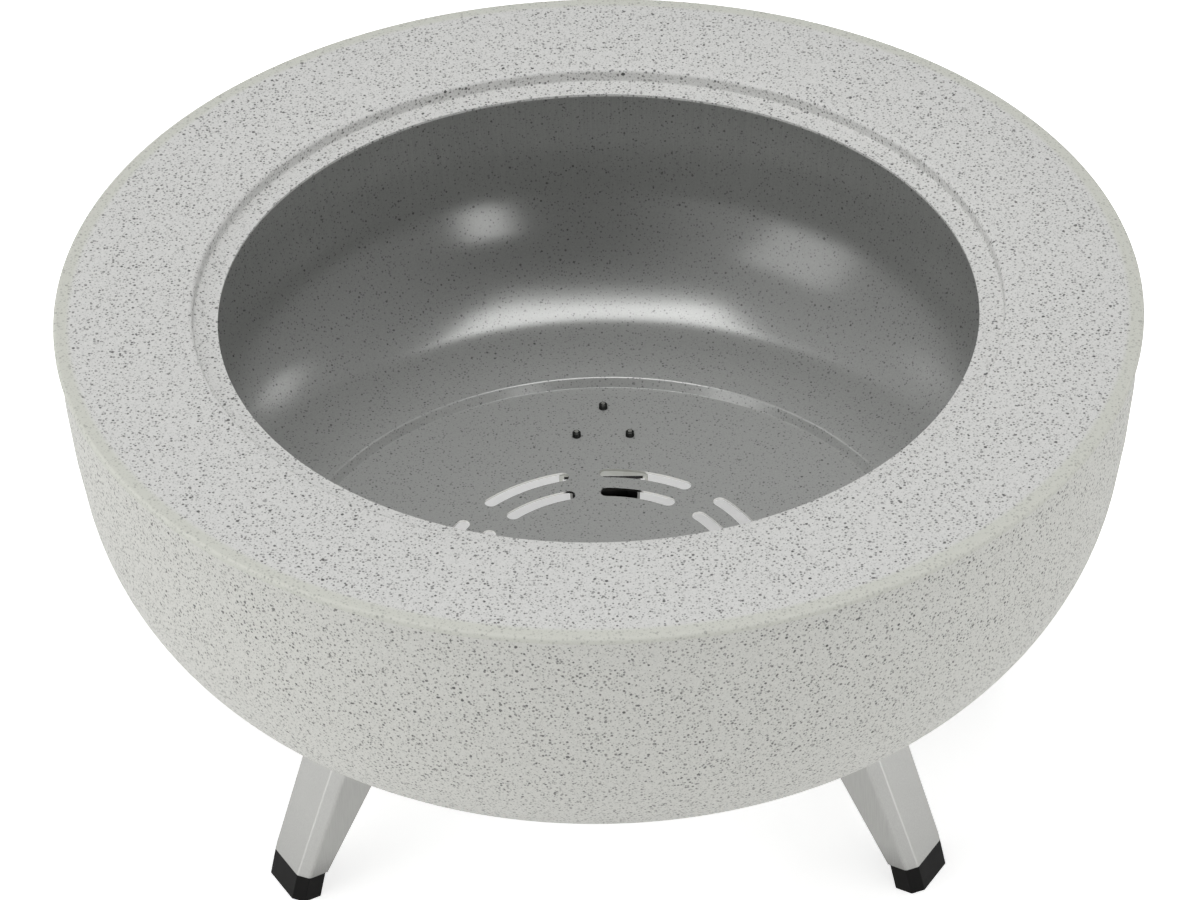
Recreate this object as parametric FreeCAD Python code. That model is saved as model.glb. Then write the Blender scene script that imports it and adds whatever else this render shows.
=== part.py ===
import FreeCAD, Part
import math
import os

# Round steel fire bowl with a wide flat ring on top, on three splayed legs of folded sheet.
# Millimetres. Origin on the ground under the bowl's centre, +Z up, the rear leg on +Y.

# Sheet metal and fits
SHEET = 1.5                # wall of the bowl, the ring and the legs
BEND_RADIUS = 1.0          # inside radius of the small press bends
CLEARANCE = 0.3            # gap between parts that slip together

# Top ring
RING_RADIUS = 300.0
RING_BEND = 0.3            # inside radius of the rolled outer edge
RING_SKIRT = 1.7           # straight part below the roll
OPENING_RADIUS = 210.0
LEDGE_WIDTH = 13.5         # sunk ledge round the opening, the seat of a round grate or cover
RECESS_DEPTH = 8.0

# Fire bowl, outer surface, from the rim down
RIM_GAP = 0.5              # between the rim and the ring's rolled edge
RIM_FLANGE = 14.0          # turned-in rim that carries the ring
RIM_BEND = 0.7             # inside radius of the rim's bend
WALL_LEAN = 1.0            # degrees of lean just below the rim
WALL_RADIUS = 600.0        # the wall's own slight curve
WALL_END_LEAN = 9.6        # degrees of lean where the shoulder starts
SHOULDER_RADIUS = 134.0
SHOULDER_END_LEAN = 56.0   # degrees of lean where the heel starts
HEEL_RADIUS = 62.2
FLOOR_WIDTH = 15.6         # level floor between the heel and the sunk disc that takes the legs
DISC_DEPTH = 5.1
DISC_SLOPE = 55.0          # degrees between the sunk disc's pressed wall and the level
DISC_BEND = 0.5            # inside radius of the bends at that wall's two edges

# Air slots in the sunk disc, in two rings
SLOT_COUNT = 8             # in each ring
INNER_SLOT_RADIUS = 76.0
OUTER_SLOT_RADIUS = 94.0
SLOT_WIDTH = 8.0
SLOT_ANGLE = 34.0          # degrees that a slot takes, over its round ends
SLOT_TURN = 6.9            # degrees from the rear leg to a gap between slots

# Legs: folded channels with the web outwards, open towards the bowl's axis
LEG_SIDES = ("rear", "left", "right")
REAR_LEG_ANGLE = 90
LEG_HEIGHT = 135.2         # ground to the legs' top edge, which carries the mounting plate
LEG_SETBACK = 9.5          # sunk disc's edge to the web's outer face at the leg's top edge
LEG_TOP_DEPTH = 41.5       # web's outer face to the flanges' free edges, at the top edge
LEG_OUTER_SPLAY = 20.1     # degrees between the web and the vertical
LEG_EDGE_SPLAY = 30.0      # degrees between the free edges and the vertical
LEG_FOOT_WIDTH = 39.6
LEG_TOP_WIDTH = 45.4
LEG_CORNER_WIDTH = 6.5     # bevelled corner between web and flange, at the lower end
LEG_CORNER_DEPTH = 4.8

# Foot caps: moulded plugs in the legs' lower ends
FOOT_HEIGHT = 16.0         # visible part below the leg
FOOT_PLUG_HEIGHT = 14.0    # part inside the leg
FOOT_FLARE = 4.0           # cap's outer face on the ground, beyond the web's lower end
FOOT_DEPTH = 15.6          # on the ground, outer to inner face
FOOT_TAPER = 0.3           # cap's side on the ground, inside the leg's flange
FOOT_SETBACK = 1.0         # cap's inner face, behind the leg's free edges
FOOT_EDGE = 1.0            # radius of the cap's upright edges

# Mounting plates, one welded across each leg's top edge
PLATE_SHEET = 2.0
PLATE_SIDE = 3.3           # on each side, beyond the leg
PLATE_END = 2.4            # at the outer end, beyond the leg's web
PLATE_LENGTH = 77.6
PLATE_LIP = 8.0            # height of the folded side lips, plate included
PLATE_CORNER = 3.0         # cut corners at the inner end

# Button-head screws M5 x 8 from below, three to a leg, in a triangle with one point outwards
SCREW_COUNT = 3
SCREW_RADIUS = 2.5
SCREW_LENGTH = 8.0
SCREW_CHAMFER = 0.6
HEAD_RADIUS = 4.75
HEAD_FLAT_RADIUS = 2.6
HEAD_HEIGHT = 2.75
HEAD_EDGE = 0.4            # upright edge at the head's largest diameter
HEAD_BULGE = 0.4           # how far the head's crown stands proud of a straight cone
SOCKET_SIDES = 6
SOCKET_FLATS = 3.0
SOCKET_DEPTH = 1.6
THREAD_GAP = 0.05          # crest to bore in the tapped collars
WASHER_RADIUS = 5.0
WASHER_THICKNESS = 1.0
WASHER_GAP = 0.15          # screw to the washer's bore
FLANGE_ROOM = 0.5          # washer to the inner face of the leg's flange
WEB_ROOM = 4.2             # outer washer to the inner face of the leg's web
COLLAR_WALL = 0.8          # collars pressed down out of the bowl's floor and tapped
COLLAR_RECESS = 0.4        # collar's end, above the plate's underside

UP = FreeCAD.Vector(0, 0, 1)
CENTRE = FreeCAD.Vector(0, 0, 0)
MODELLED_AT = 90           # leg pieces are modelled on +Y, then turned to their leg
OVERRUN = 1.0              # cutters run past the faces that they cut

# Outer radii of the bends, and radii from the axis that follow from the ring
OUTER_BEND = BEND_RADIUS + SHEET
DISC_OUTER_BEND = DISC_BEND + SHEET
RIM_OUTER_BEND = RIM_BEND + SHEET
RING_EDGE = RING_BEND + SHEET
RECESS_RADIUS = OPENING_RADIUS + LEDGE_WIDTH
RIM_RADIUS = RING_RADIUS - SHEET - RIM_GAP

# The bowl's outline below its rim: radius, lean where the arc starts, lean where it ends
BOWL_ARCS = [(WALL_RADIUS, WALL_LEAN, WALL_END_LEAN),
             (SHOULDER_RADIUS, WALL_END_LEAN, SHOULDER_END_LEAN),
             (HEEL_RADIUS, SHOULDER_END_LEAN, 90)]


def sine(degrees):
    return math.sin(math.radians(degrees))


def cosine(degrees):
    return math.cos(math.radians(degrees))


def tangent(degrees):
    return math.tan(math.radians(degrees))


# Heights, each one standing on what is below it
PLATE_TOP = LEG_HEIGHT + PLATE_SHEET
WASHER_UNDERSIDE = LEG_HEIGHT - WASHER_THICKNESS
BOWL_TOP = (PLATE_TOP + DISC_DEPTH + RIM_OUTER_BEND * (1 + sine(WALL_LEAN))
            + sum(radius * (sine(end) - sine(start)) for radius, start, end in BOWL_ARCS))

# Radii from the axis, each one inside the one before
HEEL_END = (RIM_RADIUS - RIM_OUTER_BEND * (1 - cosine(WALL_LEAN))
            - sum(radius * (cosine(start) - cosine(end)) for radius, start, end in BOWL_ARCS))
DISC_RADIUS = (HEEL_END - FLOOR_WIDTH - DISC_OUTER_BEND * tangent(DISC_SLOPE / 2)
               - DISC_DEPTH / tangent(DISC_SLOPE))
LEG_TOP_REACH = DISC_RADIUS - LEG_SETBACK

# The screws' triangle fits inside the leg's top edge
SCREW_HALF_SPACING = LEG_TOP_WIDTH / 2 - SHEET - FLANGE_ROOM - WASHER_RADIUS
SCREW_PITCH_RADIUS = SCREW_HALF_SPACING / sine(180 / SCREW_COUNT)
WEB_INNER_REACH = LEG_TOP_REACH - SHEET / cosine(LEG_OUTER_SPLAY)
SCREW_CENTRE_REACH = WEB_INNER_REACH - WEB_ROOM - WASHER_RADIUS - SCREW_PITCH_RADIUS


def trace(start, heading, moves, offset=0.0):
    """Edges along one face of a bent sheet's section, in the XZ plane.

    A move is a straight length, or a radius and a turn in degrees, where a positive turn is
    to the left. offset walks the face that lies that far to the right of the first one.
    """
    angle = math.radians(heading)
    x = start[0] + offset * math.sin(angle)
    z = start[1] - offset * math.cos(angle)
    edges = []
    for move in moves:
        here = FreeCAD.Vector(x, 0, z)
        if isinstance(move, tuple):
            bend = math.copysign(1, move[1])
            radius = move[0] + bend * offset
            points = [here]
            for share in (0.5, 1.0):
                now = angle + math.radians(move[1]) * share
                x = here.x + bend * radius * (math.sin(now) - math.sin(angle))
                z = here.z - bend * radius * (math.cos(now) - math.cos(angle))
                points.append(FreeCAD.Vector(x, 0, z))
            edges.append(Part.Arc(*points).toShape())
            angle = now
        else:
            x += move * math.cos(angle)
            z += move * math.sin(angle)
            edges.append(Part.LineSegment(here, FreeCAD.Vector(x, 0, z)).toShape())
    return edges


def sheet_section(start, heading, moves, thickness):
    """Face between the walked outline and its parallel on the right."""
    near = trace(start, heading, moves)
    far = trace(start, heading, moves, thickness)
    first = Part.LineSegment(far[0].firstVertex().Point, near[0].firstVertex().Point)
    last = Part.LineSegment(near[-1].lastVertex().Point, far[-1].lastVertex().Point)
    far.reverse()
    return Part.Face(Part.Wire(near + [last.toShape()] + far + [first.toShape()]))


def polar(radius, degrees, z=0.0):
    return FreeCAD.Vector(radius * cosine(degrees), radius * sine(degrees), z)


def turn_share(index, count):
    """Degrees to the given one of so many places, evenly spaced round a circle."""
    return index * 360 / count


def at_leg(shape, index):
    """Turn a piece that is modelled on +Y to the leg with this number."""
    turned = shape.copy()
    turned.rotate(CENTRE, UP, REAR_LEG_ANGLE + turn_share(index, len(LEG_SIDES)) - MODELLED_AT)
    return turned


def screw_places():
    """Screw axes of the leg on +Y: the first points outwards."""
    centre = polar(SCREW_CENTRE_REACH, MODELLED_AT)
    return [centre + polar(SCREW_PITCH_RADIUS, MODELLED_AT + turn_share(index, SCREW_COUNT))
            for index in range(SCREW_COUNT)]


def arc_slot(radius, middle, low, height):
    """Cutter for one curved slot with round ends."""
    end_radius = SLOT_WIDTH / 2
    cap = math.degrees(end_radius / radius)
    reach = SLOT_ANGLE / 2 - cap
    first = middle - reach
    last = middle + reach
    outer = radius + end_radius
    inner = radius - end_radius
    arcs = [Part.Arc(polar(outer, first, low), polar(outer, middle, low), polar(outer, last, low)),
            Part.Arc(polar(outer, last, low), polar(radius, last + cap, low), polar(inner, last, low)),
            Part.Arc(polar(inner, last, low), polar(inner, middle, low), polar(inner, first, low)),
            Part.Arc(polar(inner, first, low), polar(radius, first - cap, low), polar(outer, first, low))]
    return Part.Face(Part.Wire([arc.toShape() for arc in arcs])).extrude(UP * height)


def fire_bowl():
    """Pressed shell: turned-in rim, leaning wall, shoulder, flat floor and sunk disc."""
    moves = [RIM_FLANGE - RIM_OUTER_BEND, (RIM_OUTER_BEND, -90 - WALL_LEAN)]
    moves += [(radius, start - end) for radius, start, end in BOWL_ARCS]
    corner = tangent(DISC_SLOPE / 2)
    moves += [FLOOR_WIDTH,
              (DISC_BEND, DISC_SLOPE),
              DISC_DEPTH / sine(DISC_SLOPE) - (DISC_BEND + DISC_OUTER_BEND) * corner,
              (DISC_OUTER_BEND, -DISC_SLOPE),
              DISC_RADIUS - DISC_BEND * corner]
    section = sheet_section((RIM_RADIUS - RIM_FLANGE, BOWL_TOP), 0, moves, SHEET)
    bowl = section.revolve(CENTRE, UP, 360)

    collar_bottom = LEG_HEIGHT + COLLAR_RECESS
    collar_height = PLATE_TOP - collar_bottom
    bore_radius = SCREW_RADIUS + THREAD_GAP
    cutters = []
    collars = []
    for number in range(len(LEG_SIDES)):
        for place in screw_places():
            low = place + UP * collar_bottom
            collar = Part.makeCylinder(bore_radius + COLLAR_WALL, collar_height + SHEET / 2, low)
            bore = Part.makeCylinder(bore_radius, collar_height + SHEET + 2 * OVERRUN, low - UP * OVERRUN)
            collars.append(at_leg(collar, number))
            cutters.append(at_leg(bore, number))
    for radius in (INNER_SLOT_RADIUS, OUTER_SLOT_RADIUS):
        for index in range(SLOT_COUNT):
            middle = REAR_LEG_ANGLE + SLOT_TURN + turn_share(index + 0.5, SLOT_COUNT)
            cutters.append(arc_slot(radius, middle, PLATE_TOP - OVERRUN, SHEET + 2 * OVERRUN))
    return bowl.fuse(collars).cut(cutters).removeSplitter()


def top_ring():
    """Pressed ring: sunk ledge round the opening, flat top, rolled edge over the bowl's rim."""
    moves = [LEDGE_WIDTH - BEND_RADIUS,
             (BEND_RADIUS, 90),
             RECESS_DEPTH - BEND_RADIUS - OUTER_BEND,
             (OUTER_BEND, -90),
             RING_RADIUS - RING_EDGE - RECESS_RADIUS - OUTER_BEND,
             (RING_EDGE, -90),
             RING_SKIRT]
    start = (OPENING_RADIUS, BOWL_TOP + SHEET - RECESS_DEPTH)
    return sheet_section(start, 0, moves, SHEET).revolve(CENTRE, UP, 360)


def leg_line(z):
    """Outer outline of the leg's section at height z: (across, along) from edge to edge."""
    drop = LEG_HEIGHT - z
    share = drop / (LEG_HEIGHT - FOOT_HEIGHT)
    half = (LEG_TOP_WIDTH + (LEG_FOOT_WIDTH - LEG_TOP_WIDTH) * share) / 2
    grown = 2 * half / LEG_FOOT_WIDTH
    outer = LEG_TOP_REACH + drop * tangent(LEG_OUTER_SPLAY)
    edge = LEG_TOP_REACH - LEG_TOP_DEPTH + drop * tangent(LEG_EDGE_SPLAY)
    web = half - LEG_CORNER_WIDTH * grown
    corner = outer - LEG_CORNER_DEPTH * grown
    return [(-half, edge), (-half, corner), (-web, outer), (web, outer), (half, corner), (half, edge)]


def inset_line(line, distance):
    """The same line moved inwards, with the sheet's thickness measured square to the web."""
    squash = cosine(LEG_OUTER_SPLAY)
    points = [FreeCAD.Vector(x, y * squash, 0) for x, y in line]
    normals = []
    for here, there in zip(points, points[1:]):
        run = (there - here).normalize()
        normals.append(FreeCAD.Vector(run.y, -run.x, 0))
    normals = [normals[0]] + normals + [normals[-1]]
    inset = []
    for point, before, after in zip(points, normals, normals[1:]):
        mitre = (before + after) * (distance / (1 + before.dot(after)))
        inset.append(((point + mitre).x, (point + mitre).y / squash))
    return inset


def rounded_wire(corners, z):
    """Closed wire through (across, along, radius) corners at height z."""
    points = [FreeCAD.Vector(x, y, z) for x, y, radius in corners]
    bends = []
    for index, point in enumerate(points):
        radius = corners[index][2]
        before = (points[index - 1] - point).normalize()
        after = (points[(index + 1) % len(points)] - point).normalize()
        half_angle = before.getAngle(after) / 2
        back = radius / math.tan(half_angle)
        middle = (before + after).normalize() * (radius / math.sin(half_angle) - radius)
        bends.append((point + before * back, point + middle, point + after * back))
    edges = []
    for index, bend in enumerate(bends):
        if corners[index][2] > 0:
            edges.append(Part.Arc(*bend).toShape())
        following = bends[(index + 1) % len(bends)]
        edges.append(Part.LineSegment(bend[2], following[0]).toShape())
    return Part.Wire(edges)


def leg_wire(z):
    """Section of the folded sheet at height z."""
    line = leg_line(z)
    outer = [(x, y, OUTER_BEND) for x, y in line]
    inner = [(x, y, BEND_RADIUS) for x, y in inset_line(line, SHEET)]
    inner.reverse()
    for side in (outer, inner):
        side[0] = side[0][:2] + (0,)
        side[-1] = side[-1][:2] + (0,)
    return rounded_wire(outer + inner, z)


def leg():
    """Tapered channel of folded sheet, cut level at both ends."""
    return Part.makeLoft([leg_wire(FOOT_HEIGHT), leg_wire(LEG_HEIGHT)], True, True)


def cap_wire(line, inner, z):
    """Closed section of the foot cap, from its outline and the reach of its inner face."""
    corners = [(x, y, FOOT_EDGE) for x, y in line]
    corners[0] = (line[0][0], inner, FOOT_EDGE)
    corners[-1] = (line[-1][0], inner, FOOT_EDGE)
    return rounded_wire(corners, z)


def foot_cap():
    """Moulded foot: a solid shoe below the leg and a plug inside it."""
    top_line = leg_line(FOOT_HEIGHT)
    half = LEG_FOOT_WIDTH / 2 - FOOT_TAPER
    web = half - LEG_CORNER_WIDTH
    outer = top_line[2][1] + FOOT_FLARE
    corner = outer - LEG_CORNER_DEPTH
    ground_line = [(-half, 0), (-half, corner), (-web, outer), (web, outer), (half, corner), (half, 0)]
    shoe = Part.makeLoft([cap_wire(ground_line, outer - FOOT_DEPTH, 0),
                          cap_wire(top_line, top_line[0][1] + FOOT_SETBACK, FOOT_HEIGHT)], True, True)
    wires = []
    for z in (FOOT_HEIGHT, FOOT_HEIGHT + FOOT_PLUG_HEIGHT):
        inner = leg_line(z)[0][1] + FOOT_SETBACK
        wires.append(cap_wire(inset_line(leg_line(z), SHEET + CLEARANCE), inner, z))
    return shoe.fuse(Part.makeLoft(wires, True, True)).removeSplitter()


def mounting_plate():
    """Flat plate with folded side lips, holed round the floor's collars."""
    bend = BEND_RADIUS + PLATE_SHEET
    lip = PLATE_LIP - bend
    half = LEG_TOP_WIDTH / 2 + PLATE_SIDE
    inner_end = LEG_TOP_REACH + PLATE_END - PLATE_LENGTH
    moves = [lip, (bend, -90), 2 * (half - bend), (bend, -90), lip]
    section = sheet_section((-half, PLATE_TOP - PLATE_LIP), 90, moves, PLATE_SHEET)
    section.translate(FreeCAD.Vector(0, inner_end, 0))
    plate = section.extrude(FreeCAD.Vector(0, PLATE_LENGTH, 0))
    low = PLATE_TOP - PLATE_LIP - OVERRUN
    height = UP * (PLATE_LIP + 2 * OVERRUN)
    cutters = []
    for side in (-1, 1):
        edge = side * (half + OVERRUN)
        end = inner_end - OVERRUN
        cut_length = PLATE_CORNER + 2 * OVERRUN
        points = [FreeCAD.Vector(edge, end, low),
                  FreeCAD.Vector(edge - side * cut_length, end, low),
                  FreeCAD.Vector(edge, end + cut_length, low)]
        cutters.append(Part.Face(Part.makePolygon(points + points[:1])).extrude(height))
    hole_radius = SCREW_RADIUS + THREAD_GAP + COLLAR_WALL + CLEARANCE
    for place in screw_places():
        cutters.append(Part.makeCylinder(hole_radius, PLATE_LIP + 2 * OVERRUN, place + UP * low))
    return plate.cut(cutters)


def screw():
    """Button-head screw with its tip upwards, standing on the origin with its head below."""
    corners = [FreeCAD.Vector(0, 0, -HEAD_HEIGHT),
               FreeCAD.Vector(HEAD_FLAT_RADIUS, 0, -HEAD_HEIGHT),
               FreeCAD.Vector(HEAD_RADIUS, 0, -HEAD_EDGE),
               FreeCAD.Vector(HEAD_RADIUS, 0, 0),
               FreeCAD.Vector(SCREW_RADIUS, 0, 0),
               FreeCAD.Vector(SCREW_RADIUS, 0, SCREW_LENGTH - SCREW_CHAMFER),
               FreeCAD.Vector(SCREW_RADIUS - SCREW_CHAMFER, 0, SCREW_LENGTH),
               FreeCAD.Vector(0, 0, SCREW_LENGTH)]
    edges = [Part.LineSegment(here, there).toShape() for here, there in zip(corners, corners[1:])]
    edges.append(Part.LineSegment(corners[-1], corners[0]).toShape())
    crown = corners[2] - corners[1]
    proud = FreeCAD.Vector(crown.z, 0, -crown.x).normalize() * HEAD_BULGE
    edges[1] = Part.Arc(corners[1], (corners[1] + corners[2]) * 0.5 + proud, corners[2]).toShape()
    body = Part.Face(Part.Wire(edges)).revolve(CENTRE, UP, 360)
    socket_corner = SOCKET_FLATS / 2 / cosine(180 / SOCKET_SIDES)
    hexagon = [polar(socket_corner, turn_share(index, SOCKET_SIDES), -HEAD_HEIGHT - OVERRUN)
               for index in range(SOCKET_SIDES)]
    socket = Part.Face(Part.makePolygon(hexagon + hexagon[:1])).extrude(UP * (SOCKET_DEPTH + OVERRUN))
    return body.cut(socket)


def washer():
    outer = Part.makeCylinder(WASHER_RADIUS, WASHER_THICKNESS)
    return outer.cut(Part.makeCylinder(SCREW_RADIUS + WASHER_GAP, WASHER_THICKNESS))


def at_screws(shape, z):
    """Copies of a small part on the leg's three screw axes."""
    copies = []
    for place in screw_places():
        copy = shape.copy()
        copy.translate(place + UP * z)
        copies.append(copy)
    return Part.makeCompound(copies)


os.makedirs("parts", exist_ok=True)
nodes = {"fire_bowl": fire_bowl(), "top_ring": top_ring()}
leg_pieces = {"leg": leg(),
              "mounting_plate": mounting_plate(),
              "foot_cap": foot_cap(),
              "leg_screws": at_screws(screw(), WASHER_UNDERSIDE),
              "leg_washers": at_screws(washer(), WASHER_UNDERSIDE)}
for number, side in enumerate(LEG_SIDES):
    for name, piece in leg_pieces.items():
        nodes[side + "_" + name] = at_leg(piece, number)
for name, shape in nodes.items():
    shape.exportStep("parts/" + name + ".step")
    print(name, len(shape.Solids), "valid", shape.isValid(), round(shape.Volume), shape.BoundBox)
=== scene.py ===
import math
import bpy
from mathutils import Matrix, Vector


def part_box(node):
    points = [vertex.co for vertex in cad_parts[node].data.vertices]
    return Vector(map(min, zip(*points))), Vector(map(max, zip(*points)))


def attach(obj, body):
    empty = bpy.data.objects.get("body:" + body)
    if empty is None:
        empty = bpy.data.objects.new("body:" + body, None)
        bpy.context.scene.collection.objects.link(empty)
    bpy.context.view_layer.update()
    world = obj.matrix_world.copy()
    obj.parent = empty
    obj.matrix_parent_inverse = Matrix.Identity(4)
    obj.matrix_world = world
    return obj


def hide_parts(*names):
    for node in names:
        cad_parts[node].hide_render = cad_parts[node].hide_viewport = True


# The fire bowl as it stands in the frame: metres, +Z up, the rear leg on +Y.
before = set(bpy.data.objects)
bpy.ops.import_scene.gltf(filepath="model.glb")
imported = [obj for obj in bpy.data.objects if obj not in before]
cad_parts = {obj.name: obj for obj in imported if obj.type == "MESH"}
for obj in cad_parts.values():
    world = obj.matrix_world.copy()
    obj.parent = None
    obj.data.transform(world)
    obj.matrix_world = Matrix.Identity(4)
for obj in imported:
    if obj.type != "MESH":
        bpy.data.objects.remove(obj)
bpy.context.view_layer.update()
mm = 0.001
bpy.ops.object.select_all(action="DESELECT")


# Foot caps: three moulded plugs of black rubber, pushed into the legs' lower ends. The mould
# leaves crisp edges and a faintly grained, half matt skin.
def linear(colour):
    """Linear red, green, blue and alpha of an sRGB hex colour."""
    parts = [int(colour[start:start + 2], 16) / 255 for start in (1, 3, 5)]
    return [part / 12.92 if part <= 0.04045 else ((part + 0.055) / 1.055) ** 2.4 for part in parts] + [1]


def add_node(owner, kind, settings=None, links=None):
    """Add a shader node, set its properties or its sockets' values, and link its sockets."""
    node = owner.node_tree.nodes.new("ShaderNode" + kind)
    for name, value in (settings or {}).items():
        if isinstance(name, str) and hasattr(node, name):
            setattr(node, name, value)
        else:
            node.inputs[name].default_value = value
    for name, source in (links or {}).items():
        if isinstance(source, bpy.types.Node):
            source = next(socket for socket in source.outputs if socket.enabled)
        owner.node_tree.links.new(source, node.inputs[name])
    return node


def new_material(name):
    """An empty material and its object coordinates, in millimetres."""
    material = bpy.data.materials.new(name)
    material.use_nodes = True
    material.node_tree.nodes.clear()
    metres = add_node(material, "TexCoord").outputs["Object"]
    return material, add_node(material, "VectorMath", {"operation": "SCALE", "Scale": 1 / mm}, {0: metres})


def finish_material(material, settings, links):
    """Join a Principled shader to the material's output."""
    shader = add_node(material, "BsdfPrincipled", settings, links)
    add_node(material, "OutputMaterial", {}, {"Surface": shader})
    return material


def dress(node, material):
    """Give a piece of the frame its material."""
    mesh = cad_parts[node].data
    mesh.materials.clear()
    mesh.materials.append(material)


grain_pitch = 0.6
bloom_size = 9.0
rubber, place = new_material("black_moulded_rubber")
grain = add_node(rubber, "TexNoise", {"Scale": 1 / grain_pitch, "Detail": 2.0}, {"Vector": place})
bloom = add_node(rubber, "TexNoise", {"Scale": 1 / bloom_size, "Detail": 3.0}, {"Vector": place})
tone = add_node(rubber, "Mix", {"data_type": "RGBA", 6: linear("#050505"), 7: linear("#0C0B0A")}, {0: bloom})
sheen = add_node(rubber, "MapRange", {"To Min": 0.5, "To Max": 0.62}, {"Value": bloom})
bump = add_node(rubber, "Bump", {"Strength": 0.12, "Distance": 0.1 * mm}, {"Height": grain})
finish_material(rubber, {"IOR": 1.22}, {"Base Color": tone, "Roughness": sheen, "Normal": bump})
sides = ("rear", "left", "right")
for side in sides:
    dress(side + "_foot_cap", rubber)


# Legs: tapered channels folded from 1.5 mm stainless steel, satin ground along their length.
# The grinding leaves fine streaks that spread the light across the web and the bevelled corners.
# Inside the channel the sheet is painted near black as shade, by ambient occlusion, which shows through the
# rear air slots.
streak_width = 0.35
streak_length = 30.0
cloud_size = 25.0
channel_width = 60 * mm
steel, place = new_material("satin_stainless_steel")
stretch = add_node(steel, "Mapping", {"Scale": (1 / streak_width, 1 / streak_width, 1 / streak_length)},
                   {"Vector": place})
streaks = add_node(steel, "TexNoise", {"Scale": 1.0, "Detail": 3.0}, {"Vector": stretch})
clouds = add_node(steel, "TexNoise", {"Scale": 1 / cloud_size, "Detail": 2.0}, {"Vector": place})
tone = add_node(steel, "Mix", {"data_type": "RGBA", 6: linear("#969694"), 7: linear("#AFAFAC")}, {0: streaks})
sheen = add_node(steel, "MapRange", {"To Min": 0.36, "To Max": 0.46}, {"Value": clouds})
bump = add_node(steel, "Bump", {"Strength": 0.06, "Distance": 0.05 * mm}, {"Height": streaks})
# painted shade: the colour goes to near black where ambient occlusion finds the channel's walls close
channel_occlusion = add_node(steel, "AmbientOcclusion", {"Distance": channel_width}).outputs["AO"]
unshaded = add_node(steel, "MapRange", {"From Min": 0.4, "From Max": 0.78}, {"Value": channel_occlusion})
tone = add_node(steel, "Mix", {"data_type": "RGBA", 6: linear("#161615")}, {0: unshaded, 7: tone})
finish_material(steel, {"Metallic": 1.0}, {"Base Color": tone, "Roughness": sheen, "Normal": bump})
for side in sides:
    dress(side + "_leg", steel)


# Mounting plates: three pieces of galvanised sheet, welded across the legs' top edges. The zinc
# is a dull pale grey, with soft spangles, which shows as a light patch through the rear slots. The
# ends are painted near black as shade, a thin line under that patch.
spangle_size = 7.0
galvanised, place = new_material("galvanised_sheet")
spangles = add_node(galvanised, "TexVoronoi", {"Scale": 1 / spangle_size}, {"Vector": place})
lots = add_node(galvanised, "SeparateColor", {}, {"Color": spangles.outputs["Color"]})
tone = add_node(galvanised, "Mix", {"data_type": "RGBA", 6: linear("#CDCEC7"), 7: linear("#DBDCD6")},
                {0: lots.outputs["Red"]})
across = add_node(galvanised, "VectorMath", {"operation": "MULTIPLY", 1: (1, 1, 0)}, {0: place})
outwards = add_node(galvanised, "VectorMath", {"operation": "NORMALIZE"}, {0: across})
facing = add_node(galvanised, "VectorMath", {"operation": "DOT_PRODUCT"},
                  {0: add_node(galvanised, "NewGeometry").outputs["Normal"], 1: outwards}).outputs["Value"]
endwise = add_node(galvanised, "Math", {"operation": "ABSOLUTE"}, {0: facing})
# the two ends face inwards and outwards, the folded lips to the sides
shaded_ends = add_node(galvanised, "MapRange", {"From Min": 0.8, "From Max": 0.9}, {"Value": endwise})
# painted shade: the end faces are coloured near black, for their shade under the bowl's floor
tone = add_node(galvanised, "Mix", {"data_type": "RGBA", 7: linear("#171615")}, {0: shaded_ends, 6: tone})
sheen = add_node(galvanised, "MapRange", {"To Min": 0.4, "To Max": 0.55}, {"Value": lots.outputs["Green"]})
finish_material(galvanised, {"Metallic": 0.35}, {"Base Color": tone, "Roughness": sheen})
for side in sides:
    dress(side + "_mounting_plate", galvanised)


# Washers: nine bright zinc-plated discs stamped from steel strip. Each lies between a screw's head
# and the plate above it.
crystal_size = 1.2
zinc, place = new_material("zinc_plated_steel")
crystals = add_node(zinc, "TexVoronoi", {"Scale": 1 / crystal_size}, {"Vector": place})
tone = add_node(zinc, "Mix", {"data_type": "RGBA", 6: linear("#A7ABAE"), 7: linear("#C3C6C8")}, {0: crystals})
finish_material(zinc, {"Metallic": 1.0, "Roughness": 0.32}, {"Base Color": tone})
for side in sides:
    dress(side + "_leg_washers", zinc)


# Screws: nine M5 x 8 button heads of black-oxided steel, turned in from below. Their threaded
# ends stand 3.5 mm proud of the bowl's floor, and end in a dimple of bare, bright steel.
screw_radius = 2.5 * mm
screw_length = 8.0 * mm
thread_pitch = 0.8 * mm
thread_depth = 0.45 * mm
head_radius = 4.75 * mm
head_flat = 2.6 * mm
head_height = 2.75 * mm
head_edge = 0.4 * mm
end_chamfer = 0.4 * mm
dimple_radius = 1.2 * mm
dimple_depth = 0.6 * mm
socket_flats = 3.0 * mm
socket_depth = 1.6 * mm
screw_triangle = 18.13 * mm


def edit_all(piece):
    """Open a piece in edit mode with all of it selected."""
    bpy.ops.object.select_all(action="DESELECT")
    piece.select_set(True)
    bpy.context.view_layer.objects.active = piece
    bpy.ops.object.mode_set(mode="EDIT")
    bpy.ops.mesh.select_all(action="SELECT")


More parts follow.
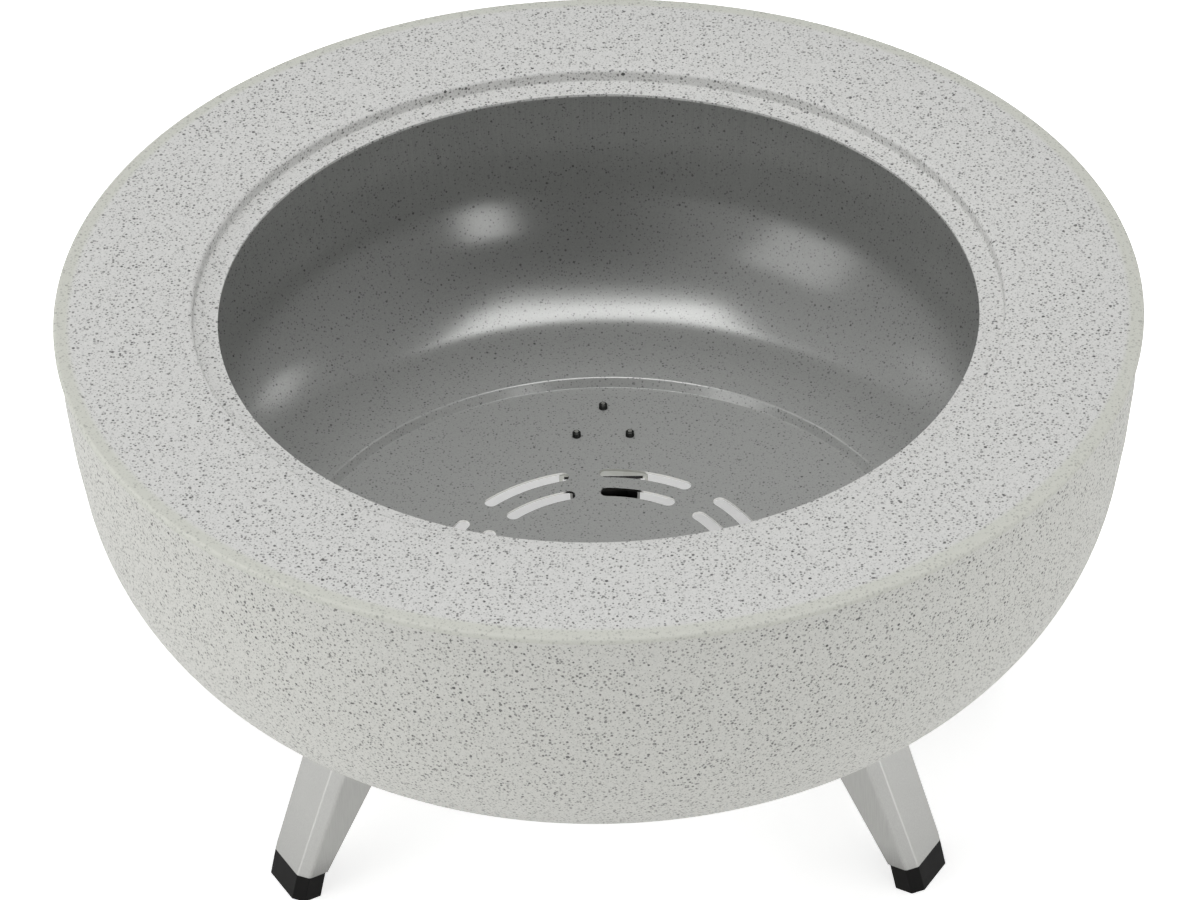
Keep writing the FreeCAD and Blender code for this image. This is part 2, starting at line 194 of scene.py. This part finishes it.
def turned(name, outline, steps):
    """Draw half of a round piece's section from point to point and spin it about its axis."""
    bpy.ops.mesh.primitive_plane_add(size=mm, location=(outline[0][0], 0, outline[0][1]))
    piece = bpy.context.object
    piece.name = name
    bpy.ops.object.transform_apply(location=True)
    edit_all(piece)
    bpy.ops.mesh.merge(type="CENTER")
    for here, there in zip(outline, outline[1:]):
        move = (there[0] - here[0], 0, there[1] - here[1])
        bpy.ops.mesh.extrude_region_move(TRANSFORM_OT_translate={"value": move})
    bpy.ops.mesh.select_all(action="SELECT")
    bpy.ops.mesh.spin(steps=steps, angle=2 * math.pi, center=(0, 0, 0), axis=(0, 0, 1))
    bpy.ops.mesh.select_all(action="SELECT")
    bpy.ops.mesh.remove_doubles(threshold=0.0001 * mm)
    bpy.ops.mesh.normals_make_consistent(inside=False)
    bpy.ops.object.mode_set(mode="OBJECT")
    return piece


def apply_modifier(piece, kind, **settings):
    """Add a modifier with its settings and apply it."""
    bpy.context.view_layer.objects.active = piece
    modifier = piece.modifiers.new(kind.lower(), kind)
    for name, value in settings.items():
        setattr(modifier, name, value)
    bpy.ops.object.modifier_apply(modifier=modifier.name)


def cut(piece, cutter):
    """Cut one solid out of another and remove the cutter."""
    apply_modifier(piece, "BOOLEAN", operation="DIFFERENCE", object=cutter, solver="EXACT")
    bpy.data.objects.remove(cutter)


def join(name, pieces):
    """Join pieces to one object with its place in its mesh."""
    bpy.ops.object.select_all(action="DESELECT")
    for piece in pieces:
        piece.select_set(True)
    bpy.context.view_layer.objects.active = pieces[0]
    bpy.ops.object.join()
    bpy.ops.object.transform_apply(location=True, rotation=True, scale=True)
    pieces[0].name = name
    return pieces[0]


def shade(piece, degrees=35):
    """Smooth shading that keeps the edges above this angle sharp."""
    bpy.ops.object.select_all(action="DESELECT")
    piece.select_set(True)
    bpy.context.view_layer.objects.active = piece
    bpy.ops.object.shade_smooth_by_angle(angle=math.radians(degrees))


crown_steps = 4
crown_turns = [step * math.pi / 2 / crown_steps for step in range(crown_steps + 1)]
crown = [(head_flat + (head_radius - head_flat) * math.sin(turn),
          -head_edge - (head_height - head_edge) * math.cos(turn)) for turn in crown_turns]
shank_radius = screw_radius - thread_depth
screw = turned("screw", [(0, -head_height)] + crown
               + [(head_radius, 0), (shank_radius, 0), (shank_radius, screw_length - end_chamfer),
                  (shank_radius - end_chamfer, screw_length), (dimple_radius, screw_length),
                  (0, screw_length - dimple_depth)], 32)
bpy.ops.mesh.primitive_cylinder_add(vertices=6, radius=socket_flats / 2 / math.cos(math.pi / 6),
                                    depth=2 * socket_depth, location=(0, 0, -head_height))
cut(screw, bpy.context.object)
# The thread is a ridge that climbs one pitch a turn, wound by the screw modifier. Its root lies a
# little inside the shank.
thread_start = 0.1 * mm
thread_root = 0.1 * mm
flank_rise = 0.4 * thread_pitch
crest_rise = 0.12 * thread_pitch
turns = int(screw_length / thread_pitch) - 1
bpy.ops.mesh.primitive_plane_add(size=mm, location=(shank_radius - thread_root, 0, thread_start))
thread = bpy.context.object
bpy.ops.object.transform_apply(location=True)
edit_all(thread)
bpy.ops.mesh.merge(type="CENTER")
for reach, rise in ((thread_depth + thread_root, flank_rise), (0, crest_rise),
                    (-thread_depth - thread_root, flank_rise)):
    bpy.ops.mesh.extrude_region_move(TRANSFORM_OT_translate={"value": (reach, 0, rise)})
bpy.ops.mesh.select_all(action="SELECT")
bpy.ops.mesh.edge_face_add()
bpy.ops.mesh.delete(type="ONLY_FACE")
bpy.ops.object.mode_set(mode="OBJECT")
apply_modifier(thread, "SCREW", angle=2 * math.pi, screw_offset=thread_pitch, iterations=turns,
               steps=32, render_steps=32, axis="Z", use_merge_vertices=True)
edit_all(thread)
bpy.ops.mesh.fill_holes(sides=5)
bpy.ops.mesh.normals_make_consistent(inside=False)
bpy.ops.object.mode_set(mode="OBJECT")
screw = join("screw", [screw, thread])
shade(screw)

# The black oxide is thin, so it wears to grey in small patches. The dimple was cut through it and
# is paler, with the cutter's fine marks.
patches_per_mm = 1.2
marks_per_mm = 4.0
oxide, place = new_material("black_oxide_steel")
wear = add_node(oxide, "TexNoise", {"Scale": patches_per_mm, "Detail": 3.0}, {"Vector": place})
tone = add_node(oxide, "Mix", {"data_type": "RGBA", 6: linear("#1F201F"), 7: linear("#3C3D3A")}, {0: wear})
finish_material(oxide, {"Metallic": 0.6, "Roughness": 0.36}, {"Base Color": tone})
turned_steel, place = new_material("turned_steel_dimple")
marks = add_node(turned_steel, "TexNoise", {"Scale": marks_per_mm, "Detail": 2.0}, {"Vector": place})
tone = add_node(turned_steel, "Mix", {"data_type": "RGBA", 6: linear("#A9A9A4"), 7: linear("#C0C0BA")},
                {0: marks})
finish_material(turned_steel, {"Metallic": 0.6, "Roughness": 0.36}, {"Base Color": tone})
screw.data.materials.append(oxide)
screw.data.materials.append(turned_steel)
for face in screw.data.polygons:
    face.material_index = 0
    if face.center.xy.length < dimple_radius and face.center.z > screw_length - dimple_depth:
        face.material_index = 1

screw_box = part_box("rear_leg_screws")
centre_reach = screw_box[1].y - head_radius - screw_triangle


def screw_spot(corner, height):
    """A point on one of the rear leg's three screw axes, at this height."""
    angle = math.radians(90 + 120 * corner)
    return Vector((screw_triangle * math.cos(angle), centre_reach + screw_triangle * math.sin(angle), height))


for number, side in enumerate(sides):
    turn = Matrix.Rotation(math.radians(120 * number), 4, "Z")
    copies = []
    for corner in range(3):
        copy = screw.copy()
        copy.data = screw.data.copy()
        bpy.context.collection.objects.link(copy)
        copy.matrix_world = turn @ Matrix.Translation(screw_spot(corner, screw_box[1].z - screw_length))
        copies.append(copy)
    group = join(side + "_screws", copies)
    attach(group, "root")
    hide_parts(side + "_leg_screws")
bpy.data.objects.remove(screw)


# Fire bowl: one pressing of 1.5 mm steel sheet. Its outside carries the stone-look paint, its
# inside a satin grey enamel with fine dark specks. The sunk disc of its floor is punched with two
# rings of air slots and tapped for the legs' screws.
sheet = 1.5 * mm
bend = 1.0 * mm
rim_flange = 14.0 * mm
rim_bend = 2.2 * mm
floor_width = 15.6 * mm
disc_depth = 5.1 * mm
disc_slope = 55.0
disc_bend = 0.5 * mm
disc_loops = (110 * mm, 60 * mm, 0)
round_steps = 256
# radius of each arc of the wall, and its lean where it starts and where it ends
wall_arcs = ((600 * mm, 1.0, 9.6), (134 * mm, 9.6, 56), (62.2 * mm, 56, 90))
bowl_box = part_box("fire_bowl")
rim_radius = bowl_box[1].x
bowl_top = bowl_box[1].z


def walk(start, heading, moves, step=4):
    """Points along a bent outline: straight lengths, or (radius, turn) with turns to the left."""
    angle = math.radians(heading)
    points = [start]
    for move in moves:
        x, z = points[-1]
        if isinstance(move, tuple):
            radius, turn = move[0], math.radians(move[1])
            side = math.copysign(1, turn)
            count = max(2, math.ceil(abs(move[1]) / step))
            for index in range(1, count + 1):
                now = angle + turn * index / count
                points.append((x + side * radius * (math.sin(now) - math.sin(angle)),
                               z - side * radius * (math.cos(now) - math.cos(angle))))
            angle += turn
        else:
            points.append((x + move * math.cos(angle), z + move * math.sin(angle)))
    return points


outer_bend = bend + sheet
disc_outer_bend = disc_bend + sheet
disc_wall = (disc_depth / math.sin(math.radians(disc_slope))
             - (disc_bend + disc_outer_bend) * math.tan(math.radians(disc_slope / 2)))
moves = [rim_flange - rim_bend, (rim_bend, -91.0)]
moves += [(radius, first - last) for radius, first, last in wall_arcs]
moves += [floor_width, (disc_bend, disc_slope), disc_wall, (disc_outer_bend, -disc_slope)]
outline = walk((rim_radius - rim_flange, bowl_top), 0, moves, step=3)
for reach in disc_loops:
    outline.append((reach, outline[-1][1]))
bowl = turned("bowl_shell", outline, round_steps)


# Sizes in the paint, in millimetres: its mottled ground, its relief, a speck's soft border, and
# the band where the coat thins out towards an edge.
mottle_size = 1.1
relief_size = 0.9
speck_border = 0.3
thinning_width = 3.0
# The rolling lines on the inside: their number round the wall, their length, and the heights
# between which they come up.
line_count = 300.0
line_length = 50.0
lines_from = 190.0
lines_to = 280.0


def stone_paint(name, base, speck, layers, shine, rolled=0.0, thin_edge=1000.0):
    """Speckled paint: rounded specks of random size in a mottled ground, with or without rolled lines.

    From the radius thin_edge, in millimetres, outwards the coat is thin and a little yellow, with
    paler specks.
    """
    paint, place = new_material(name)
    mottle = add_node(paint, "TexNoise", {"Scale": 1 / mottle_size, "Detail": 2.0}, {"Vector": place})
    shift = add_node(paint, "MapRange", {"From Min": 0.3, "From Max": 0.7, "To Min": 0.93, "To Max": 1.05},
                     {"Value": mottle})
    tone = add_node(paint, "VectorMath", {"operation": "SCALE", 0: linear(base)[:3]}, {"Scale": shift})
    across = add_node(paint, "VectorMath", {"operation": "MULTIPLY", 1: (1, 1, 0)}, {0: place})
    reach = add_node(paint, "VectorMath", {"operation": "LENGTH"}, {0: across}).outputs["Value"]
    thin = add_node(paint, "MapRange", {"From Min": thin_edge, "From Max": thin_edge + thinning_width},
                    {"Value": reach})
    tone = add_node(paint, "Mix", {"data_type": "RGBA", 7: linear("#CACBC3")}, {0: thin, 6: tone})
    coat = add_node(paint, "MapRange", {"To Min": 1.0, "To Max": 0.4}, {"Value": thin})
    for spacing, least, most, depth in layers:
        cells = add_node(paint, "TexVoronoi", {"Scale": 1 / spacing}, {"Vector": place})
        lots = add_node(paint, "SeparateColor", {}, {"Color": cells.outputs["Color"]})
        distance = add_node(paint, "Math", {"operation": "MULTIPLY", 1: spacing},
                            {0: cells.outputs["Distance"]})
        radius = add_node(paint, "MapRange", {"To Min": least, "To Max": most},
                          {"Value": lots.outputs["Green"]})
        inside = add_node(paint, "Math", {"operation": "SUBTRACT"}, {0: radius, 1: distance})
        soft = add_node(paint, "MapRange", {"From Max": speck_border, "To Max": depth}, {"Value": inside})
        strength = add_node(paint, "MapRange", {"To Min": 0.35, "To Max": 1.0},
                            {"Value": lots.outputs["Red"]})
        amount = add_node(paint, "Math", {"operation": "MULTIPLY"}, {0: soft, 1: strength})
        amount = add_node(paint, "Math", {"operation": "MULTIPLY"}, {0: amount, 1: coat})
        tone = add_node(paint, "Mix", {"data_type": "RGBA", 7: linear(speck)}, {0: amount, 6: tone})
    if rolled:
        # the sheet's upright rolling lines show faintly through a thin coat, high on the wall
        around = add_node(paint, "VectorMath", {"operation": "NORMALIZE"}, {0: across})
        wound = add_node(paint, "VectorMath", {"operation": "SCALE", "Scale": line_count}, {0: around})
        upright = add_node(paint, "VectorMath", {"operation": "MULTIPLY", 1: (0, 0, 1 / line_length)},
                           {0: place})
        lines = add_node(paint, "VectorMath", {"operation": "ADD"}, {0: wound, 1: upright})
        streaks = add_node(paint, "TexNoise", {"Scale": 1.0, "Detail": 2.0}, {"Vector": lines})
        height = add_node(paint, "SeparateXYZ", {}, {0: place}).outputs["Z"]
        high = add_node(paint, "MapRange", {"From Min": lines_from, "From Max": lines_to, "To Max": rolled},
                        {"Value": height})
        paler = add_node(paint, "MapRange", {"From Min": 0.35, "From Max": 0.65, "To Min": 0.8,
                                             "To Max": 1.2}, {"Value": streaks})
        lined = add_node(paint, "VectorMath", {"operation": "SCALE"}, {0: tone, "Scale": paler})
        tone = add_node(paint, "Mix", {"data_type": "RGBA"}, {0: high, 6: tone, 7: lined})
    relief = add_node(paint, "TexNoise", {"Scale": 1 / relief_size, "Detail": 2.0}, {"Vector": place})
    bump = add_node(paint, "Bump", {"Strength": 0.15, "Distance": 0.12 * mm}, {"Height": relief})
    return finish_material(paint, shine, {"Base Color": tone, "Normal": bump})


# Stone-look paint outside: matt, pale grey, crowded with dark specks from dust to a few coarse
# ones. Each layer has a spacing, a least and a most radius in millimetres, and a depth of colour.
dust = (1.3, 0.25, 0.6, 0.6)
fine = (1.9, 0.4, 0.9, 0.9)
middle = (4.2, 0.6, 1.1, 0.95)
coarse = (15.0, 0.8, 1.35, 0.95)
bowl.data.materials.append(stone_paint("stone_paint_bowl", "#CFCFCA", "#444443",
                                       (dust, fine, middle, coarse), {"Roughness": 0.7, "IOR": 1.45}))
# Satin enamel inside: a metallic grey that mirrors the soft boxes as blurred patches, with finer
# and fewer specks.
settled = (1.7, 0.3, 0.75, 0.6)
scattered = (4.0, 0.45, 0.9, 0.75)
single = (15.0, 0.6, 1.1, 0.75)
bowl.data.materials.append(stone_paint("satin_enamel_inside", "#BABBB9", "#3C3D3C",
                                       (settled, scattered, single),
                                       {"Metallic": 0.16, "Roughness": 0.185, "IOR": 1.6}, 0.35))
disc_underside = outline[-1][1]
apply_modifier(bowl, "SOLIDIFY", thickness=sheet, offset=-1, use_even_offset=True, material_offset=1)

collar_wall = 0.8 * mm
collar_gap = 0.4 * mm
collar_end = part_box("rear_leg")[1].z + collar_gap
thread_gap = 0.05 * mm
slot_count = 8
slot_radii = (76 * mm, 94 * mm)
slot_width = 8 * mm
slot_angle = 34.0
slot_turn = 6.9


def round_arc(steps, degrees, centre):
    """Spin the selected point anticlockwise, seen from above, about an upright axis."""
    bpy.ops.mesh.spin(steps=steps, angle=math.radians(-degrees), center=centre, axis=(0, 0, 1))


def slot_cutter(radius):
    """A curved slot with round ends as an upright solid, centred on +X."""
    half = slot_width / 2
    reach = slot_angle / 2 - math.degrees(half / radius)
    low = disc_underside - sheet
    ends = [(radius * math.cos(math.radians(angle)), radius * math.sin(math.radians(angle)), low)
            for angle in (reach, -reach)]
    start = (radius + half) / radius
    bpy.ops.mesh.primitive_plane_add(size=mm, location=(ends[1][0] * start, ends[1][1] * start, low))
    bpy.ops.object.transform_apply(location=True)
    cutter = bpy.context.object
    edit_all(cutter)
    bpy.ops.mesh.merge(type="CENTER")
    round_arc(12, 2 * reach, (0, 0, low))
    round_arc(10, 180, ends[0])
    round_arc(12, -2 * reach, (0, 0, low))
    round_arc(10, 180, ends[1])
    bpy.ops.mesh.select_all(action="SELECT")
    bpy.ops.mesh.remove_doubles(threshold=0.01 * mm)
    bpy.ops.mesh.edge_face_add()
    bpy.ops.mesh.extrude_region_move(TRANSFORM_OT_translate={"value": (0, 0, 3 * sheet)})
    bpy.ops.mesh.select_all(action="SELECT")
    bpy.ops.mesh.normals_make_consistent(inside=False)
    bpy.ops.object.mode_set(mode="OBJECT")
    return cutter


def copies_round(piece, count, first):
    """Copies of a piece, evenly spaced about the bowl's axis; the piece itself goes."""
    copies = []
    for index in range(count):
        copy = piece.copy()
        copy.data = piece.data.copy()
        bpy.context.collection.objects.link(copy)
        turn = Matrix.Rotation(math.radians(first + 360 * index / count), 4, "Z")
        copy.matrix_world = turn @ piece.matrix_world
        copies.append(copy)
    bpy.data.objects.remove(piece)
    return copies


def screw_cylinders(radius, low, high):
    """Upright cylinders on the nine screws' axes."""
    pieces = []
    for corner in range(3):
        bpy.ops.mesh.primitive_cylinder_add(vertices=48, radius=radius, depth=high - low,
                                            location=screw_spot(corner, (low + high) / 2))
        pieces += copies_round(bpy.context.object, 3, 0)
    return pieces


bore = screw_radius + thread_gap
collars = join("collars", screw_cylinders(bore + collar_wall, collar_end, disc_underside + sheet / 2))
apply_modifier(bowl, "BOOLEAN", operation="UNION", object=collars, solver="EXACT")
bpy.data.objects.remove(collars)
cutters = screw_cylinders(bore, collar_end - sheet, disc_underside + 2 * sheet)
for radius in slot_radii:
    cutters += copies_round(slot_cutter(radius), slot_count, 90 + slot_turn + 180 / slot_count)
cut(bowl, join("cutters", cutters))

# The slots' punched walls are bare, bright steel with fine upright marks, which mirrors the ground.
# The inner slots' walls above a leg are painted near black, as shade from its channel.
mark_width = 0.3
mark_length = 10.0
marks_across = (1 / mark_width, 1 / mark_width, 1 / mark_length)
punched, place = new_material("punched_steel_edge")
upright = add_node(punched, "VectorMath", {"operation": "MULTIPLY", 1: marks_across}, {0: place})
marks = add_node(punched, "TexNoise", {"Scale": 1.0, "Detail": 2.0}, {"Vector": upright})
tone = add_node(punched, "Mix", {"data_type": "RGBA", 6: linear("#C6C6C3"), 7: linear("#D3D3D0")}, {0: marks})
spot = add_node(punched, "SeparateXYZ", {}, {0: place}).outputs
bearing = add_node(punched, "Math", {"operation": "ARCTAN2"}, {0: spot["Y"], 1: spot["X"]})
threefold = add_node(punched, "Math", {"operation": "MULTIPLY", 1: 3.0}, {0: bearing})
# minus 1 over each leg's middle, minus 0.69 at 15.5 degrees from it, minus 0.62 at 17.2
legwards = add_node(punched, "Math", {"operation": "SINE"}, {0: threefold})
over_leg = add_node(punched, "MapRange", {"From Min": -0.62, "From Max": -0.69}, {"Value": legwards})
between_rings = sum(slot_radii) / 2 / mm
across = add_node(punched, "VectorMath", {"operation": "MULTIPLY", 1: (1, 1, 0)}, {0: place})
reach = add_node(punched, "VectorMath", {"operation": "LENGTH"}, {0: across}).outputs["Value"]
inner = add_node(punched, "MapRange", {"From Min": between_rings + 1, "From Max": between_rings - 1},
                 {"Value": reach})
# painted shade: near black over each leg, on the inner ring of slots only
leg_shade = add_node(punched, "Math", {"operation": "MULTIPLY"}, {0: over_leg, 1: inner})
tone = add_node(punched, "Mix", {"data_type": "RGBA", 7: linear("#171716")}, {0: leg_shade, 6: tone})
finish_material(punched, {"Metallic": 1.0, "Roughness": 0.3}, {"Base Color": tone})
bowl.data.materials.append(punched)
for face in bowl.data.polygons:
    upright_face = abs(face.normal.z) < 0.3
    if upright_face and slot_radii[0] - slot_width < face.center.xy.length < slot_radii[1] + slot_width:
        face.material_index = len(bowl.data.materials) - 1
shade(bowl, 30)
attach(bowl, "root")
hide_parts("fire_bowl")


# Top ring: a second pressing of the same sheet, with the same paint, which is thin and a little
# yellow at the outer edge. A sunk ledge round the opening carries a grate or cover, and the outer
# edge is bent down over the bowl's rim.
ring_edge = 1.8 * mm
ring_skirt = 1.7 * mm
ledge_width = 13.5 * mm
recess_depth = 8.0 * mm
opening_radius = 210 * mm
ring_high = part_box("top_ring")[1]
flat = ring_high.x - ring_edge - opening_radius - ledge_width - outer_bend
moves = [ledge_width - bend, (bend, 90), recess_depth - bend - outer_bend, (outer_bend, -90)]
moves += [flat / 2, flat / 2, (ring_edge, -90), ring_skirt]
outline = walk((opening_radius, ring_high.z - recess_depth), 0, moves, step=15)
ring = turned("ring_shell", outline, round_steps)
highest = max(ring.data.polygons, key=lambda face: face.center.z)
if highest.normal.z < 0:
    edit_all(ring)
    bpy.ops.mesh.flip_normals()
    bpy.ops.object.mode_set(mode="OBJECT")
apply_modifier(ring, "SOLIDIFY", thickness=sheet, offset=-1, use_even_offset=True)
shade(ring, 30)
ring.data.materials.append(stone_paint("stone_paint_ring", "#D2D2D0", "#444443",
                                       (dust, fine, middle, coarse), {"Roughness": 0.7, "IOR": 1.45},
                                       thin_edge=290.5))
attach(ring, "root")
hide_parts("top_ring")


# Floor: a plain white surface that the camera sees as white, with the bowl's soft cast shadow and
# a painted shadow: its glow is lower in a patch that is deepest under the rear half of the bowl.
floor_size = 12.0
shadow_centre = (0, 0.26, 0)
shadow_core = 0.1
shadow_reach = 0.36
glow_in_shadow = 0.19
open_glow = 0.68
bpy.ops.mesh.primitive_plane_add(size=floor_size, location=(0, 0, 0))
floor = bpy.context.object
floor.name = "floor"
ground = bpy.data.materials.new("white_floor")
ground.use_nodes = True
ground.node_tree.nodes.clear()
rays = add_node(ground, "LightPath").outputs
seen = add_node(ground, "Math", {"operation": "MAXIMUM"},
                {0: rays["Is Camera Ray"], 1: rays["Is Glossy Ray"]})
seen = add_node(ground, "Math", {"operation": "MAXIMUM"}, {0: seen, 1: rays["Is Transmission Ray"]})
spot = add_node(ground, "TexCoord").outputs["Object"]
# painted shadow: the glow falls from open_glow to glow_in_shadow towards shadow_centre
apart = add_node(ground, "VectorMath", {"operation": "DISTANCE", 1: shadow_centre}, {0: spot})
open_floor = add_node(ground, "MapRange", {"interpolation_type": "SMOOTHSTEP", "From Min": shadow_core,
                                           "From Max": shadow_reach, "To Min": glow_in_shadow,
                                           "To Max": open_glow}, {"Value": apart.outputs["Value"]})
glow = add_node(ground, "Math", {"operation": "MULTIPLY"}, {0: seen, 1: open_floor})
matt = add_node(ground, "BsdfDiffuse", {"Color": linear("#F2F2F2")})
light = add_node(ground, "Emission", {}, {"Strength": glow})
both = add_node(ground, "AddShader", {}, {0: matt, 1: light})
add_node(ground, "OutputMaterial", {}, {"Surface": both})
floor.data.materials.append(ground)


# Studio light: a dim surround with a pale wall on either side, four soft panels overhead, a soft
# box on either side in front and behind, and three low panels for the outer wall.
surround_glow = 0.11
left_wall_glow = 0.6
right_wall_glow = 0.33
bowl_centre = Vector((0, 0, 0.25))
lamp_distance = 2.8
world = bpy.data.worlds.new("studio_surround")
bpy.context.scene.world = world
world.use_nodes = True
world.node_tree.nodes.clear()
direction = add_node(world, "SeparateXYZ", {}, {0: add_node(world, "TexCoord").outputs["Generated"]})
left_wall = add_node(world, "MapRange", {"interpolation_type": "SMOOTHSTEP", "From Min": 0.0,
                                         "From Max": -0.6, "To Min": surround_glow,
                                         "To Max": left_wall_glow}, {"Value": direction})
right_wall = add_node(world, "MapRange", {"interpolation_type": "SMOOTHSTEP", "From Min": 0.2,
                                          "From Max": 0.8, "To Max": right_wall_glow}, {"Value": direction})
walls = add_node(world, "Math", {"operation": "ADD"}, {0: left_wall, 1: right_wall})
sky = add_node(world, "Background", {"Color": linear("#FFFFFF")}, {"Strength": walls})
add_node(world, "OutputWorld", {}, {"Surface": sky})


def soft_light(name, azimuth, elevation, width, height, radiance):
    """A rectangular soft box of this size and radiance, aimed at the bowl."""
    level, rise = math.radians(azimuth), math.radians(elevation)
    reach = lamp_distance * math.cos(rise)
    place = Vector((reach * math.cos(level), reach * math.sin(level), lamp_distance * math.sin(rise)))
    bpy.ops.object.light_add(type="AREA", location=bowl_centre + place)
    lamp = bpy.context.object
    lamp.name = name
    lamp.data.shape = "RECTANGLE"
    lamp.data.size = width
    lamp.data.size_y = height
    lamp.data.energy = radiance * math.pi * width * height
    lamp.rotation_euler = place.to_track_quat("Z", "Y").to_euler()


soft_light("ceiling_panel", -90, 88.5, 2.0, 1.2, 4.4)
soft_light("overhead_strip", -93, 75, 1.75, 0.32, 2.0)
soft_light("overhead_box", -94, 72, 2.0, 0.65, 0.8)
soft_light("overhead_rear", 110, 68, 2.4, 1.1, 0.8)
soft_light("front_left_box", -142, 30, 1.0, 1.2, 1.25)
soft_light("front_right_box", -62.5, 23.5, 0.48, 0.9, 2.9)
soft_light("rear_left_box", 165, 38, 0.6, 0.5, 0.5)
soft_light("rear_right_box", 17, 41, 0.5, 0.4, 1.8)
soft_light("low_left_panel", -158, 2, 1.6, 0.5, 6.7)
soft_light("low_front_panel", -92, 2, 1.2, 0.5, 2.65)
soft_light("low_right_panel", -20, 2, 1.6, 0.5, 6.2)


# Camera: a long lens from the front, 36 degrees above the level. Its place and aim were fitted to
# the outlines of the bowl's round edges.
view_centre = Vector((0, 0, 0.327))
view_turn = 0.6
view_height = 35.961
view_distance = 3.211
view_roll = -1.175
aim_up = 1.4114
aim_across = -0.0166
focal_pixels = 5816.62
picture_width = 1200
sensor = 36.0
camera_data = bpy.data.cameras.new("camera")
camera_data.sensor_width = sensor
camera_data.lens = focal_pixels / picture_width * sensor
camera = bpy.data.objects.new("camera", camera_data)
bpy.context.scene.collection.objects.link(camera)
turn = Matrix.Rotation(math.radians(view_turn), 4, "Z")
height = math.radians(view_height)
stand = Vector((0, -view_distance * math.cos(height), view_distance * math.sin(height)))
aim = Vector((-math.radians(aim_up), math.radians(aim_across), 0))
camera.matrix_world = (Matrix.Translation(view_centre) @ turn @ Matrix.Translation(stand)
                       @ Matrix.Rotation(math.pi / 2 - height, 4, "X")
                       @ Matrix.Rotation(math.radians(view_roll), 4, "Z")
                       @ Matrix.Rotation(aim.length, 4, aim.normalized()))
bpy.context.scene.camera = camera
bpy.context.scene.view_settings.view_transform = "Standard"
